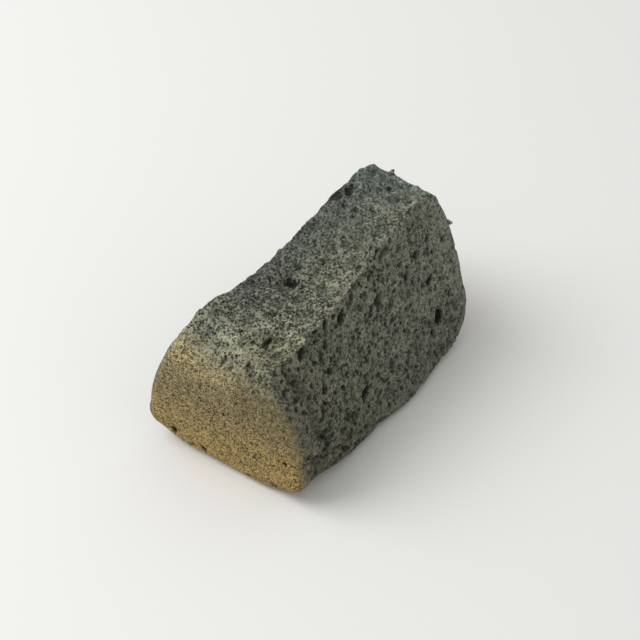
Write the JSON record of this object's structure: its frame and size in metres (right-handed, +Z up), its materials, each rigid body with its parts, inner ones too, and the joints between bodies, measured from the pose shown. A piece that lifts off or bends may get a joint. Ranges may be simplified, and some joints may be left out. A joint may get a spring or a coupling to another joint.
{
  "type": "chiffon cake slice",
  "caption": "Slice of dark grey-green chiffon ring cake lying on its outer wall, with a browned skin end, torn crumb on top and porous knife-cut sides.",
  "frame": {"origin": "middle of the flat underside, where the slice rests", "axes": "+Z up, +Y along the slice from the browned pan-floor end to the risen end, +X towards one cut side"},
  "size_m": [0.0562, 0.0992, 0.0569],
  "materials": {
    "crumb": "matt, dry, porous sponge crumb with a browned skin at the pan-floor end"
  },
  "bodies": {
    "root": {"cake_slice": "crumb"}
  },
  "joints": []
}
